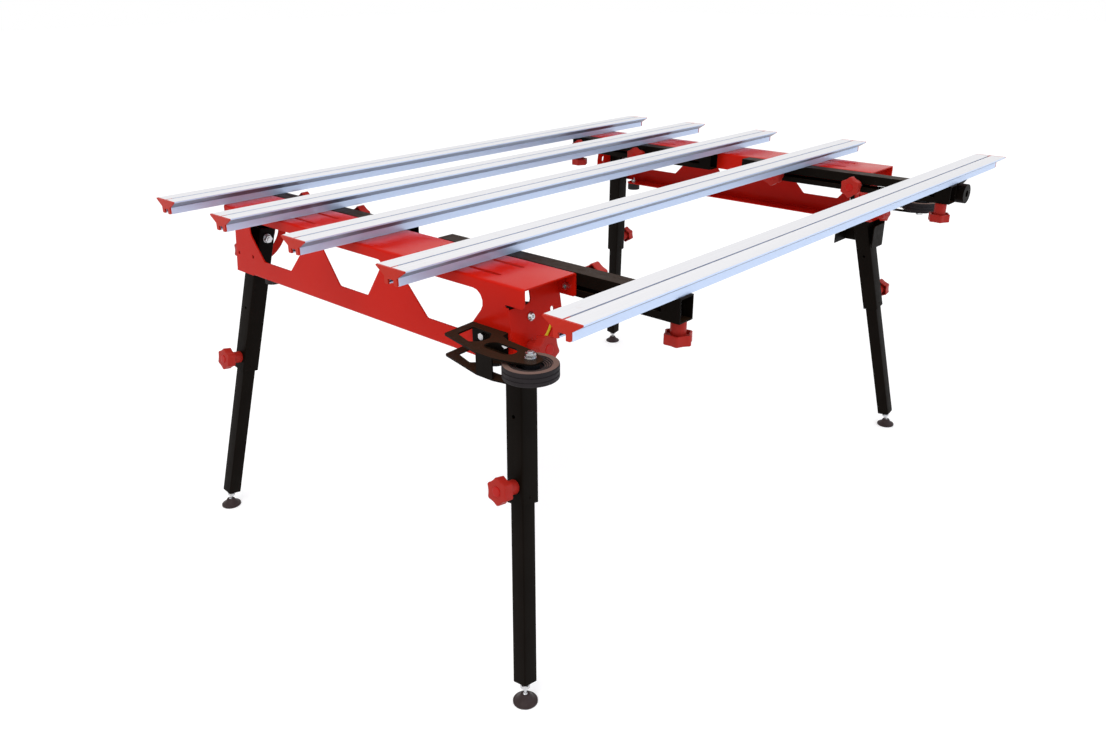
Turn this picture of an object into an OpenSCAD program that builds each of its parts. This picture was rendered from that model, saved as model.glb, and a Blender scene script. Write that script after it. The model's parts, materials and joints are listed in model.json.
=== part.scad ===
// Folding slab work table: five slotted aluminium rails on two folded steel
// beams, with splayed telescopic legs that fold inward under the beams.
// X runs along the rails, Y across the table and Z up from the floor.

/* [Rails] */
// Length of a rail over its two end caps
rail_length = 1800; // [1740:10:2200]
// Width of a rail across its top
rail_w = 80; // [70:1:90]
// Height of a rail
rail_h = 32; // [28:1:36]
// Width of the box under the rail's head
rail_box_w = 36; // [34:1:42]
// Height of the rails' top above the floor
table_h = 862; // [820:1:920]
// Height of the thin edge of a rail's head
rail_edge_h = 3; // [2:0.5:4]
// Depth below the top at which the head meets the box
rail_head_h = 17; // [14:0.5:18]
// Wall of the rail profile
rail_wall = 3; // [2:0.5:4]
// Width of the mouth of the slot under a rail
slot_mouth_w = 16; // [14:0.5:18]
// Width of the slot inside its mouth
slot_cavity_w = 27; // [24:0.5:29]
// Height of the slot inside its mouth
slot_cavity_h = 9; // [8:0.5:10]
// Width of the groove along the top of a rail
groove_w = 4.5; // [3:0.5:8]
// Depth of the groove along the top of a rail
groove_depth = 3; // [2:0.5:4]
// Thickness of an end cap's plate
cap_t = 4; // [2:0.5:8]
// Length of an end cap's plug inside the rail
cap_plug_l = 15; // [8:1:30]
// Distance of rail 1, the far rail, from the middle of the beams
rail_1_y = 526; // [515:1:535]
// Distance of rail 2 from the middle of the beams
rail_2_y = 277; // [240:1:330]
// Distance of rail 3 from the middle of the beams
rail_3_y = -3; // [-20:1:20]
// Distance of rail 4 from the middle of the beams
rail_4_y = -310; // [-340:1:-240]
// Distance of rail 5, the near rail, from the middle of the beams
rail_5_y = -719; // [-730:1:-690]
// Distance of the rails' middle from the middle between the beams
rail_shift = 10; // [0:1:20]

/* [Beams] */
// Distance of a beam's outer face from the middle between the beams
beam_x = 755; // [740:1:770]
// Width of a beam's top plate
beam_w = 139; // [134:1:144]
// Length of a beam
beam_l = 1017; // [1005:1:1030]
// Height of a beam's outer web
beam_h = 160; // [155:1:165]
// Thickness of the beams' sheet steel
sheet_t = 3; // [2:0.5:4]
// Height of the strip at each end of the web
strip_h = 38; // [32:1:42]
// Height of the bend relief under that strip
relief_h = 6; // [4:1:9]
// Rounding of the strip's corner
strip_r = 10; // [4:1:12]
// Radius of the sheet's bends
bend_r = 5; // [3.5:0.5:7]
// Height of the lip that carries the extensions
lip_h = 47; // [45:1:50]
// Rounding of the lip's lower corners
lip_r = 6; // [3:1:10]
// Width of the bottom flange
flange_w = 60; // [56:1:62]
// Length of the bottom flange
flange_l = 820; // [812:1:826]
// Rounding of the bottom flange's corners
flange_r = 20; // [10:1:25]
// Half the width of the middle window at its bottom
window_mid_low = 49; // [40:1:55]
// Half the width of the middle window at its top
window_mid_high = 112; // [100:1:120]
// Depth of the windows' top below the beam's top
window_top_drop = 23; // [20:1:27]
// Depth of the middle window's bottom below the beam's top
window_mid_drop = 110; // [100:1:118]
// Depth of the outer windows' bottom below the beam's top
window_out_drop = 115; // [105:1:122]
// Place of an outer window's inner top corner
window_in_high = 151; // [145:1:160]
// Place of an outer window's inner bottom corner
window_in_low = 240; // [225:1:250]
// Place of an outer window's outer bottom corner
window_out_low = 352; // [340:1:360]
// Place of an outer window's outer top corner
window_out_high = 429; // [420:1:436]
// Rounding of a window's outer top corner
window_big_r = 24; // [12:1:30]
// Rounding of the other window corners
window_r = 9; // [4:1:14]
// Width of the rail slots in the top plate
top_slot_w = 9; // [8.5:0.5:12]
// Distance of the slots' outer ends from the beam's middle
top_slot_far = 414; // [400:1:430]
// Distance of the slots' inner ends from the beam's middle
top_slot_near = 176; // [160:1:190]
// Distance of the outer row of rail bolts from the middle between the beams
bolt_row_out = 718; // [710:1:724]
// Distance of the inner row of rail bolts from the middle between the beams
bolt_row_in = 656; // [650:1:665]

/* [Legs] */
// Distance of a leg's pivot from the middle between the beams
pivot_x = 700; // [694:1:704]
// Depth of the pivots below the beam's top
pivot_drop = 76; // [76:1:79]
// Distance of a leg's middle line at its pivot from the beam's middle
leg_y = 444.5; // [442:0.5:447]
// Lean of a leg along the rails, in degrees, in its plane of folding
leg_spread = 10; // [7:0.5:11]
// Lean of the plane of folding, in degrees
end_lean = 9.2; // [7:0.1:10]
// Width of the outer leg tube
leg_w = 44; // [40:1:45]
// Wall of the outer leg tube
leg_wall = 3; // [2:0.5:3.5]
// Length of the outer leg tube below its pivot
leg_outer_l = 360; // [340:1:400]
// Length of the outer leg tube above its pivot
leg_outer_above = 24; // [20:1:26]
// Width of the inner leg tube
leg_inner_w = 34; // [32:0.5:34]
// Wall of the inner leg tube
leg_inner_wall = 2.5; // [2:0.5:4]
// Distance of the inner tube's top from the pivot
leg_inner_top = 290; // [280:1:295]
// Length of the guide inside the outer tube's lower end
leg_guide_l = 25; // [10:1:28]
// Length of the plug in the inner tube's lower end
leg_plug_l = 14; // [8:1:30]
// Rounding of the leg tubes' corners
leg_r = 4; // [3.5:0.5:5]
// Diameter of the peg hole in a leg
peg_hole_d = 8; // [6:0.5:10]
// Distance of the peg hole from the pivot
peg_hole_below = 190; // [170:1:230]
// Radius of the arc slot that guides a leg's lock knob
arc_slot_r = 58; // [55:1:60]
// Width of the arc slot
arc_slot_w = 10; // [9:0.5:12]
// Width of the end plate's upper tab
end_tab_w = 78; // [70:1:84]
// Height of the end plate's shoulder above the pivot
end_shoulder_h = 24; // [20:1:28]
// Rounding between the shoulder and the tab
end_tab_r = 10; // [4:1:12]

/* [Feet] */
// Diameter of a foot pad
pad_d = 50; // [40:1:60]
// Height of a foot pad
pad_h = 20; // [19:0.5:22]
// Height of a foot pad's edge
pad_edge_h = 5; // [3:0.5:8]
// Diameter of a foot pad's top
pad_top_d = 20; // [18:0.5:28]
// Height of the ball's middle above the floor
ball_z = 16; // [15:0.5:16.5]
// Diameter of the ball at the end of a foot stem
ball_d = 12; // [11:0.5:12.5]
// Diameter of the stem just above the ball
stem_neck_d = 6; // [5:0.5:6]
// Diameter of a foot stem's thread
stem_d = 10; // [8:1:12]
// Length of thread inside the leg
stem_inside_l = 45; // [30:1:60]
// Distance from the inner tube's end to the ball
stem_free_l = 30; // [28:1:36]
// Width across the flats of a stem's nut
stem_nut_w = 17; // [14:1:18]
// Height of a stem's nut
stem_nut_h = 7; // [5:0.5:8]

/* [Extensions] */
// Width of an extension profile
ext_w = 40; // [36:1:44]
// Length of a near extension profile
near_ext_l = 620; // [600:1:640]
// Length of a far extension profile
far_ext_l = 560; // [540:1:570]
// Wall of an extension profile
ext_wall = 3; // [2:0.5:4]
// Distance from a rail's middle to the end of its extension
ext_past = 23; // [20:1:40]
// Height of the slot through an extension
ext_slot_h = 9; // [8.5:0.5:14]
// Length of solid wall at each end of that slot
ext_end_l = 40; // [34:1:41]
// Distance of a rail knob's bolt from the inner face of its extension
rail_bolt_in = 9; // [7.5:0.5:14]
// Distance of the outer clamp knobs from the beam's middle
clamp_out_y = 488.5; // [484:0.5:491]
// Distance of the inner clamp knobs from the beam's middle
clamp_in_y = 251; // [245:1:260]

/* [Knobs] */
// Diameter of a knob's head over its lobes
knob_d = 55; // [48:1:56]
// Height of a knob's head
knob_h = 20; // [16:1:24]
// Diameter of a knob's neck
knob_neck_d = 29; // [24:1:32]
// Length of a knob's neck
knob_neck_l = 27; // [22:1:30]
// Wall of a knob's head
knob_wall = 4; // [3:0.5:6]
// Diameter of the cap in a knob's head
knob_cap_d = 21; // [16:1:28]
// Height of that cap above the head
knob_cap_h = 1.2; // [0.6:0.2:2]
// Diameter of a knob's stud
stud_d = 8; // [7:0.5:8]
// Diameter of the leg stop's small knob
small_knob_d = 25; // [20:1:30]
// Height of the small knob's head
small_knob_h = 12; // [10:1:16]
// Length of the small knob's neck
small_neck_l = 4; // [2:0.5:8]

/* [Wheels and brackets] */
// Diameter of a wheel
wheel_d = 100; // [90:1:102]
// Width of a wheel's tyre
wheel_w = 25; // [20:1:28]
// Distance of a wheel's middle from the middle between the beams
wheel_x = 815; // [812:1:820]
// Distance of a wheel's middle from the beam's middle
wheel_y = 580; // [576:1:584]
// Depth of a bracket's upper face below the beam's top
bracket_drop = 90; // [88:1:92]
// Height of a bracket
bracket_h = 43; // [42:1:46]
// Diameter of a wheel's hub
hub_d = 34; // [28:1:40]
// Diameter of the axle bolts
axle_d = 10; // [8:1:12]
// Diameter of a rubber bumper
bumper_d = 40; // [34:1:44]
// Height of a rubber bumper
bumper_h = 22; // [16:1:30]
// Distance of a bumper from the beam's middle
bumper_y = 389; // [380:1:390]
// Distance of a bumper from the middle between the beams
bumper_x = 716; // [715:1:720]
// Diameter of the end stop's rubber
buffer_d = 50; // [40:1:52]
// Length of the end stop's rubber
buffer_l = 36; // [24:1:44]

/* [Hidden] */

$fn = 48;
// Cuts run past the faces that they open by this much
over = 1;
// Gap between parts that slide or turn against each other
gap = 0.2;
// Gap between the extensions and the rails that slide over them
slide_gap = 0.3;
// Radial clearance of a stud or bolt that turns in its hole
fit = 0.05;
// Radial clearance of a bolt in a plain hole
loose = 0.3;
// Radial clearance of a ball in its socket
ball_gap = 0.3;
// Steps in each rounded corner of an outline
arc_steps = 5;
// Signs of the left, right, near and far sides
left = -1;
right = 1;
near = -1;
far = 1;

// Fasteners
m8_head_w = 13;
m8_head_h = 6;
m8_nut_h = 6.5;
m10_head_w = 17;
m10_head_h = 7;
m10_nut_h = 8;
button_d = 17.5;
button_h = 5.5;
button_socket_w = 6;
button_rim_share = 0.3;
button_top_share = 0.6;
washer_t = 2;
washer_d = 22;
point_h = 9;
rail_bolt_d = 8;
bolt_head_d = 18;
bolt_head_h = 5;
bolt_past = 2;
pilot_w = 8;

// Heights, from the floor up
beam_top = table_h - rail_h;
beam_bottom = beam_top - beam_h;
lip_bottom = beam_top - lip_h;
lip_x = beam_x - beam_w;
pivot_z = beam_top - pivot_drop;
window_top_z = beam_top - window_top_drop;
window_mid_z = beam_top - window_mid_drop;
window_out_z = beam_top - window_out_drop;
bracket_top_z = beam_top - bracket_drop;
// The clamp knobs pass below the rails that slide over them
rail_clear = 1.4;
stud_z = beam_top - knob_d / 2 - rail_clear;

// The end plates stand outside the legs and lean with them
plate_in = leg_w / 2 + washer_t;
plate_out = plate_in + sheet_t;
plate_out_y = leg_y + plate_out / cos(end_lean);
function slant(z) = plate_out_y + (pivot_z - z) * tan(end_lean);
fold_angle = 90 + leg_spread;

// Along a leg, measured down from its pivot
ball_below = (pivot_z - ball_z) / (cos(leg_spread) * cos(end_lean));
inner_end = ball_below - stem_free_l;
guide_to_knob = 10;
height_knob_below = leg_outer_l - leg_guide_l - guide_to_knob;
rivet_d = 6;
rivet_h = 1;
rivet_below = leg_outer_l - leg_guide_l / 2;

// Places of the feet and the middle of the whole table's box
foot_y = leg_y + (pivot_z - ball_z) * tan(end_lean);
near_reach = -rail_5_y + rail_w / 2;
far_reach = foot_y + pad_d / 2;
table_mid_y = (near_reach - far_reach) / 2;

// Extensions: the near pair ends under rail 5, the far pair under rail 1
near_ext_y = rail_5_y - ext_past;
far_ext_y = rail_1_y + ext_past - far_ext_l;
ext_in_x = lip_x - gap - ext_w;
ext_h = lip_h - slide_gap;
rail_bolt_x = ext_in_x + rail_bolt_in;

// Leg stop bracket, on the near right leg
stop_drop = 72;
stop_front_w = 68;
stop_front_h = 66;
stop_rear_w = 72;
stop_rear_h = 27;
stop_rear_y = 389;
stop_gap = 5;
stop_wing_w = 77;
stop_wing_l = 75;
stop_r = 10;
stop_knob_drop = 30;
stop_knob_z = beam_bottom - stop_knob_drop;
stop_front_y = slant(beam_bottom - stop_drop) + stop_gap;

// Wheel bracket outline: distance from the web's face, distance from the beam's middle
bracket_out = [
    [0, 373.5], [79, 380], [103, 489.5], [103, 529.5], [96, 560.5], [80, 605],
    [52, 605], [33, 565], [29, 528], [25, 490], [17, 470], [0, 466]
];
bracket_out_r = [0, 8, 20, 12, 12, 14, 14, 12, 12, 8, 5, 0];
hand_window = [[20, 395], [62, 399], [76, 444], [60, 460], [40, 460], [21, 446]];
hand_window_r = [4, 5, 6, 5, 8, 4];
finger_slot_x = 62;
finger_slot_y = 510;
finger_slot_w = 33;
finger_slot_l = 70;
bracket_web_from = 489.5;
bracket_web_to = 529.5;
bracket_web_x = bracket_out[2].x - sheet_t;
bracket_bolts = [402, 465];
bracket_bolt_z = bracket_top_z - bracket_h / 2;
stop_bolt_z = beam_bottom + m8_head_w;

// End stop, on the near right extension
buffer_x = 33;
buffer_bore_d = 18;
stop_arm_l = 139;
stop_arm_h = 26;
stop_arm_tip = 6;
stop_foot_l = 46;

// Rounded outlines
function unit(v) = v / norm(v);
function corner_arc(a, b, c, r) = let (
    u = unit(a - b),
    w = unit(c - b),
    half = acos(u * w) / 2,
    p = b + u * (r / tan(half)),
    q = b + w * (r / tan(half)),
    o = b + unit(u + w) * (r / sin(half)),
    from = atan2(p.y - o.y, p.x - o.x),
    turn = sign(cross(b - a, c - b)) * (180 - 2 * half)
) [for (i = [0:arc_steps]) o + r * [cos(from + turn * i / arc_steps), sin(from + turn * i / arc_steps)]];
function rounded(pts, rs) = let (n = len(pts)) [
    for (i = [0:n - 1])
        each (rs[i] == 0 ? [pts[i]]
            : corner_arc(pts[(i + n - 1) % n], pts[i], pts[(i + 1) % n], rs[i]))
];
function mirrored(pts) = [for (p = pts) p, for (i = [len(pts) - 1:-1:0]) [-pts[i].x, pts[i].y]];
function mirrored_list(v) = [for (p = v) p, for (i = [len(v) - 1:-1:0]) v[i]];
function box_outline(w, r) = rounded([[w, w], [-w, w], [-w, -w], [w, -w]] / 2, [r, r, r, r]);

module rounded_shape(pts, rs) polygon(rounded(pts, rs));

// Stands the table in the middle of its box
module placed() translate([-rail_shift, table_mid_y, 0]) children();

// A beam or leg is drawn for the far right corner and mirrored to the others
module at_side(side_x) mirror([side_x < 0 ? 1 : 0, 0, 0]) children();
module at_corner(side_x, side_y) at_side(side_x) mirror([0, side_y < 0 ? 1 : 0, 0]) children();

// Frame of an end plate: its Y is the plate's outward normal
module in_plate() translate([pivot_x, leg_y, pivot_z]) rotate([end_lean, 0, 0]) children();
// Frame of a leg: Z runs up the leg and Y along its pivot
module in_leg(side_x, side_y) placed() at_corner(side_x, side_y)
    in_plate() rotate([0, -leg_spread, 0]) children();

// Draws an outline in Y and Z, as thick as t, from x towards +X
module plate_x(x, t) translate([x, 0, 0]) rotate([90, 0, 90]) linear_extrude(t) children();
// Draws an outline in X and Z, as thick as t, from y towards +Y
module plate_y(y, t) translate([0, y + t, 0]) rotate([90, 0, 0]) linear_extrude(t) children();
// Draws an outline in X and Y, as thick as t, from z up
module plate_z(z, t) translate([0, 0, z]) linear_extrude(t) children();

// A slot with round ends
module slot_shape(w, l) {
    square([w, l - w], center = true);
    for (s = [-1, 1]) translate([0, s * (l - w) / 2]) circle(d = w);
}

// Fasteners along Z, with the bearing face of the head or nut at z = 0
module hex(w, h) cylinder(d = w / cos(30), h = h, $fn = 6);
module nut(w, h, d) difference() {
    hex(w, h);
    translate([0, 0, -over]) cylinder(d = d + 2 * fit, h = h + 2 * over);
}

// A round head with a hexagon socket
module button_head() difference() {
    union() {
        cylinder(d = button_d, h = button_h * button_rim_share);
        translate([0, 0, button_h * button_rim_share])
            cylinder(d1 = button_d, d2 = button_d * button_top_share, h = button_h * (1 - button_rim_share));
    }
    translate([0, 0, button_h / 2]) hex(button_socket_w, button_h);
}

// Rails
rail_outline = mirrored([
    [rail_box_w / 2, -rail_h], [rail_box_w / 2, -rail_head_h],
    [rail_w / 2, -rail_edge_h], [rail_w / 2, 0]
]);
slot_top = -rail_h + rail_wall + slot_cavity_h;
chamber_low = slot_top + rail_wall;
chamber_high = -groove_depth - rail_wall;
head_slope = (rail_w - rail_box_w) / 2 / (rail_head_h - rail_edge_h);
chamber_low_w = rail_box_w / 2 - rail_wall;
chamber_high_w = rail_box_w / 2 + (rail_head_h + chamber_high) * head_slope - 2 * rail_wall;
chamber_knee_w = chamber_low_w;
rail_chamber = mirrored([
    [chamber_low_w, chamber_low], [chamber_knee_w, min(-rail_head_h, chamber_high - rail_wall)],
    [max(chamber_high_w, chamber_low_w), chamber_high]
]);

module slot_mouth(h) translate([-slot_mouth_w / 2, -rail_h - over]) square([slot_mouth_w, h + over]);

module rail_section() difference() {
    polygon(rail_outline);
    translate([-groove_w / 2, -groove_depth]) square([groove_w, groove_depth + over]);
    slot_mouth(rail_wall + over);
    translate([-slot_cavity_w / 2, -rail_h + rail_wall]) square([slot_cavity_w, slot_cavity_h]);
    polygon(rail_chamber);
}

module at_rail(y) translate([0, table_mid_y + y, table_h]) children();

module rail(y) color("lightsteelblue") at_rail(y)
    plate_x(-rail_length / 2 + cap_t, rail_length - 2 * cap_t) rail_section();

cap_r = 2.5;
cap_edge_r = rail_edge_h / 3;
module rail_cap() {
    plate_x(0, cap_t) difference() {
        rounded_shape(rail_outline, mirrored_list([cap_r, 0, cap_edge_r, cap_edge_r]));
        slot_mouth(rail_wall + slot_cavity_h - rail_wall / 2);
    }
    plug_w = 2 * chamber_low_w - 2 * loose;
    plug_h = chamber_high - chamber_low - 2 * loose;
    translate([cap_t - over, -plug_w / 2, chamber_low + loose])
        cube([cap_plug_l + over, plug_w, plug_h]);
    translate([cap_t - over, -groove_w / 2 + loose, -groove_depth + loose])
        cube([cap_plug_l + over, groove_w - 2 * loose, groove_depth - loose]);
}

module rail_caps(y) color("crimson") at_rail(y)
    for (side = [left, right]) at_side(-side) translate([-rail_length / 2, 0, 0]) rail_cap();

// Bolts that hold a rail to the top plate of both beams
module rail_bolt() {
    translate([0, 0, rail_wall]) cylinder(d = bolt_head_d, h = bolt_head_h);
    under = sheet_t + washer_t + m8_nut_h + bolt_past;
    translate([0, 0, -under]) cylinder(d = rail_bolt_d, h = under + rail_wall + over);
    translate([0, 0, -sheet_t - washer_t]) cylinder(d = washer_d, h = washer_t);
    translate([0, 0, -sheet_t - washer_t - m8_nut_h]) hex(m8_head_w, m8_nut_h + over);
}

module rail_bolt_set(y) for (side = [left, right], x = [bolt_row_in, bolt_row_out])
    translate([side * x, y, beam_top]) rail_bolt();

module rail_bolts(y) color("silver") placed() rail_bolt_set(y);

// Beams, drawn on the right-hand side
relief_z = beam_top - strip_h;
web_half = [
    [slant(beam_bottom), beam_bottom],
    [slant(relief_z - relief_h), relief_z - relief_h],
    [slant(relief_z) - relief_h, relief_z - relief_h],
    [slant(relief_z) - relief_h, relief_z],
    [beam_l / 2, relief_z],
    [beam_l / 2, beam_top]
];
web_half_r = [0, 0, relief_h / 3, relief_h / 3, strip_r, 0];
mid_window = mirrored([[window_mid_low, window_mid_z], [window_mid_high, window_top_z]]);
out_window = [
    [window_in_low, window_out_z], [window_out_low, window_out_z],
    [window_out_high, window_top_z], [window_in_high, window_top_z]
];

module web_shape() difference() {
    rounded_shape(mirrored(web_half), mirrored_list(web_half_r));
    rounded_shape(mid_window, [window_r, window_r, window_r, window_r]);
    for (m = [0, 1]) mirror([m, 0]) {
        rounded_shape(out_window, [window_r, window_r, window_big_r, window_r]);
        for (y = bracket_bolts)
            translate([y, bracket_bolt_z]) square(pilot_w + 2 * fit, center = true);
    }
}

module lip_shape() rounded_shape(
    mirrored([[beam_l / 2, lip_bottom], [beam_l / 2, beam_top]]), mirrored_list([lip_r, 0])
);

// Rounds the outside of a bend that runs along Y, towards +X and +Z before it is turned
module bend_cut(x, z, turn, l) translate([x, 0, z]) rotate([0, turn, 0]) rotate([90, 0, 0])
    linear_extrude(l + 2 * over, center = true) polygon(concat(
        [for (i = [0:arc_steps]) let (t = 90 * i / arc_steps) bend_r * [sin(t) - 1, cos(t) - 1]],
        [[over, -bend_r], [over, over], [-bend_r, over]]
    ));

module top_shape() difference() {
    translate([lip_x, -beam_l / 2]) square([beam_w, beam_l]);
    for (x = [bolt_row_in, bolt_row_out]) {
        for (s = [near, far])
            translate([x, s * (top_slot_far + top_slot_near) / 2])
                slot_shape(top_slot_w, top_slot_far - top_slot_near);
        translate([x, rail_3_y]) circle(d = rail_bolt_d + 2 * loose);
    }
}

module flange_shape() difference() {
    rounded_shape(
        [[beam_x, -flange_l / 2], [beam_x, flange_l / 2],
            [beam_x - flange_w, flange_l / 2], [beam_x - flange_w, -flange_l / 2]],
        [0, 0, flange_r, flange_r]
    );
    for (s = [near, far]) translate([bumper_x, s * bumper_y]) circle(d = stud_d + 2 * loose);
}

// Ring sector from straight down, turned out by the leg's lean, to level inward
arc_points = 24;
function arc_ring(r, from, to) = [
    for (i = [0:arc_points]) let (t = from + (to - from) * i / arc_points) r * [sin(t), -cos(t)]
];

// Round end of the arc slot at an angle, from its outer side round to its inner side, or back
function slot_end(t, side) = let (u = [sin(t), -cos(t)], v = [cos(t), sin(t)]) [
    for (i = [1:2 * arc_steps - 1]) let (a = 90 * i / arc_steps)
        arc_slot_r * u + side * arc_slot_w / 2 * (u * cos(a) + v * sin(a))
];

// End plate in its own plane, with the leg's pivot at the origin
plate_top = (beam_top - sheet_t / 2 - pivot_z - plate_out * sin(end_lean)) / cos(end_lean);
plate_low = (beam_bottom + sheet_t / 2 - pivot_z - plate_in * sin(end_lean)) / cos(end_lean);
module end_plate_shape() difference() {
    union() {
        rounded_shape([
            [beam_x - pivot_x, plate_low], [beam_x - pivot_x, end_shoulder_h],
            [lip_x + end_tab_w - pivot_x, end_shoulder_h], [lip_x + end_tab_w - pivot_x, plate_top],
            [lip_x - pivot_x, plate_top], [lip_x - pivot_x, 0], [0, 0], [0, plate_low]
        ], [0, 0, end_tab_r, 0, 0, 0, 0, 0]);
        polygon(concat([[0, 0]], arc_ring(pivot_x - lip_x, -90, 0)));
    }
    circle(d = stem_d + 2 * fit);
    polygon(concat(
        arc_ring(arc_slot_r + arc_slot_w / 2, -90, leg_spread), slot_end(leg_spread, 1),
        arc_ring(arc_slot_r - arc_slot_w / 2, leg_spread, -90), slot_end(-90, -1)
    ));
}

module beam() {
    difference() {
        union() {
            plate_x(beam_x - sheet_t, sheet_t) web_shape();
            plate_z(beam_top - sheet_t, sheet_t) top_shape();
            plate_x(lip_x, sheet_t) lip_shape();
            plate_z(beam_bottom, sheet_t) flange_shape();
            for (m = [0, 1]) mirror([0, m, 0]) in_plate() plate_y(plate_in, sheet_t) end_plate_shape();
        }
        for (s = [near, far], y = [clamp_in_y, clamp_out_y])
            translate([lip_x - over, s * y, stud_z]) rotate([0, 90, 0])
                cylinder(d = stud_d + 2 * fit, h = sheet_t + 2 * over);
        bend_cut(beam_x, beam_top, 0, beam_l);
        bend_cut(lip_x, beam_top, -90, beam_l);
        bend_cut(beam_x, beam_bottom, 90, flange_l);
    }
}

module beam_left() color("firebrick") placed() at_side(left) beam();
module beam_right() color("firebrick") placed() difference() {
    at_side(right) beam();
    for (y = bracket_bolts) translate([beam_x, -y, stop_bolt_z]) rotate([0, 90, 0])
        cylinder(d = rail_bolt_d + 2 * loose, h = 2 * sheet_t + over, center = true);
}

// Wheel bracket, drawn for the near right corner with Y counted outward
module bracket_shape() difference() {
    rounded_shape(bracket_out, bracket_out_r);
    rounded_shape(hand_window, hand_window_r);
    translate([finger_slot_x, finger_slot_y]) slot_shape(finger_slot_w, finger_slot_l);
    translate([wheel_x - beam_x, wheel_y]) circle(d = axle_d + 2 * fit);
}

module wheel_bracket() translate([beam_x, 0, 0]) {
    for (z = [bracket_top_z - sheet_t, bracket_top_z - bracket_h]) plate_z(z, sheet_t) bracket_shape();
    low = bracket_top_z - bracket_h;
    translate([bracket_web_x, bracket_web_from, low])
        cube([sheet_t, bracket_web_to - bracket_web_from, bracket_h]);
    plate_x(0, sheet_t) difference() {
        translate([bracket_out[0].y, low]) square([bracket_out[11].y - bracket_out[0].y, bracket_h]);
        for (y = bracket_bolts)
            translate([y, bracket_bolt_z]) circle(d = rail_bolt_d + 2 * loose);
    }
}

module wheel_brackets() color("dimgray") placed()
    for (side = [left, right]) at_corner(side, near) wheel_bracket();

// Leg stop: a sheet bent round the near right leg, open towards the fold
module leg_stop_bracket() color("dimgray") placed() at_corner(right, near) translate([beam_x, 0, 0]) {
    low = beam_bottom - stop_drop;
    high = bracket_top_z - bracket_h;
    difference() {
        translate([0, stop_rear_y, low]) cube([sheet_t, stop_front_y + sheet_t - stop_rear_y, high - low]);
        for (y = bracket_bolts) translate([-over, y, stop_bolt_z]) rotate([0, 90, 0])
            cylinder(d = rail_bolt_d + 2 * loose, h = sheet_t + 2 * over);
        translate([-over, clamp_out_y - pilot_w, stop_knob_z]) rotate([0, 90, 0])
            cylinder(d = stud_d + 2 * fit, h = sheet_t + 2 * over);
    }
    plate_y(stop_front_y, sheet_t) rounded_shape(
        [[sheet_t, low], [sheet_t, low + stop_front_h],
            [sheet_t - stop_front_w, low + stop_front_h], [sheet_t - stop_front_w, low]],
        [0, 0, stop_r, stop_r]
    );
    translate([sheet_t - stop_rear_w, stop_rear_y, low]) cube([stop_rear_w, sheet_t, stop_rear_h]);
    plate_z(beam_bottom - sheet_t, sheet_t) rounded_shape(
        [[0, stop_rear_y + stop_r], [stop_wing_w, stop_rear_y + stop_r],
            [stop_wing_w, stop_rear_y + stop_r + stop_wing_l], [0, stop_rear_y + stop_r + stop_wing_l]],
        [0, stop_r, stop_r, 0]
    );
}

module stop_knob() color("crimson") placed() at_corner(right, near)
    translate([beam_x + sheet_t + gap, clamp_out_y - pilot_w, stop_knob_z]) rotate([0, 90, 0]) {
        reach = sheet_t + m8_nut_h;
        translate([0, 0, -reach]) cylinder(d = stud_d, h = reach + over);
        cylinder(d = knob_neck_d / 2, h = small_neck_l + over);
        translate([0, 0, small_neck_l]) linear_extrude(small_knob_h) polygon(lobes(small_knob_d / 2));
    }

// Bolts of the frame: one solid for each bolt with its nut, where the nut stays on it
module pivot_bolt() in_plate() rotate([-90, 0, 0]) {
    translate([0, 0, plate_out]) button_head();
    in_reach = leg_w / 2 + washer_t + m10_nut_h + bolt_past;
    translate([0, 0, -in_reach]) cylinder(d = stem_d, h = in_reach + plate_out + over);
    translate([0, 0, -leg_w / 2 - washer_t]) cylinder(d = washer_d, h = washer_t - gap);
    translate([0, 0, -leg_w / 2 - washer_t - m10_nut_h]) hex(m10_head_w, m10_nut_h + over);
    translate([0, 0, leg_w / 2 + gap]) cylinder(d = washer_d, h = washer_t - gap);
}

module clamp_nut() translate([lip_x + sheet_t, 0, stud_z]) rotate([0, 90, 0])
    nut(m8_head_w, m8_nut_h, stud_d);

module bumper_bolt() translate([bumper_x, bumper_y, 0]) {
    head_z = beam_bottom - bumper_h / 2;
    translate([0, 0, head_z - m8_head_h]) cylinder(d = m8_head_w, h = m8_head_h);
    translate([0, 0, head_z - over])
        cylinder(d = rail_bolt_d, h = beam_bottom - head_z + sheet_t + m8_nut_h + 2 * over);
    translate([0, 0, beam_bottom + sheet_t]) hex(m8_head_w, m8_nut_h);
    translate([0, 0, beam_bottom + sheet_t + m8_nut_h])
        cylinder(d1 = m8_head_w - bolt_past, d2 = stud_d / 4, h = point_h);
}

module side_bolt(y, z, out_t) translate([beam_x, y, z]) rotate([0, 90, 0]) {
    translate([0, 0, out_t]) hex(m8_head_w, m8_head_h);
    in_reach = sheet_t + m8_nut_h + bolt_past;
    translate([0, 0, -in_reach]) cylinder(d = rail_bolt_d, h = in_reach + out_t + over);
    translate([0, 0, -sheet_t - m8_nut_h]) hex(m8_head_w, m8_nut_h);
}

module axle_bolt() translate([wheel_x, wheel_y, bracket_top_z]) {
    below = bracket_h + m10_head_h;
    translate([0, 0, -below]) hex(m10_head_w, m10_head_h);
    translate([0, 0, -below + over]) cylinder(d = axle_d, h = below + washer_t + m10_nut_h + bolt_past);
    cylinder(d = washer_d, h = washer_t);
    translate([0, 0, washer_t]) hex(m10_head_w, m10_nut_h);
}

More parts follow.
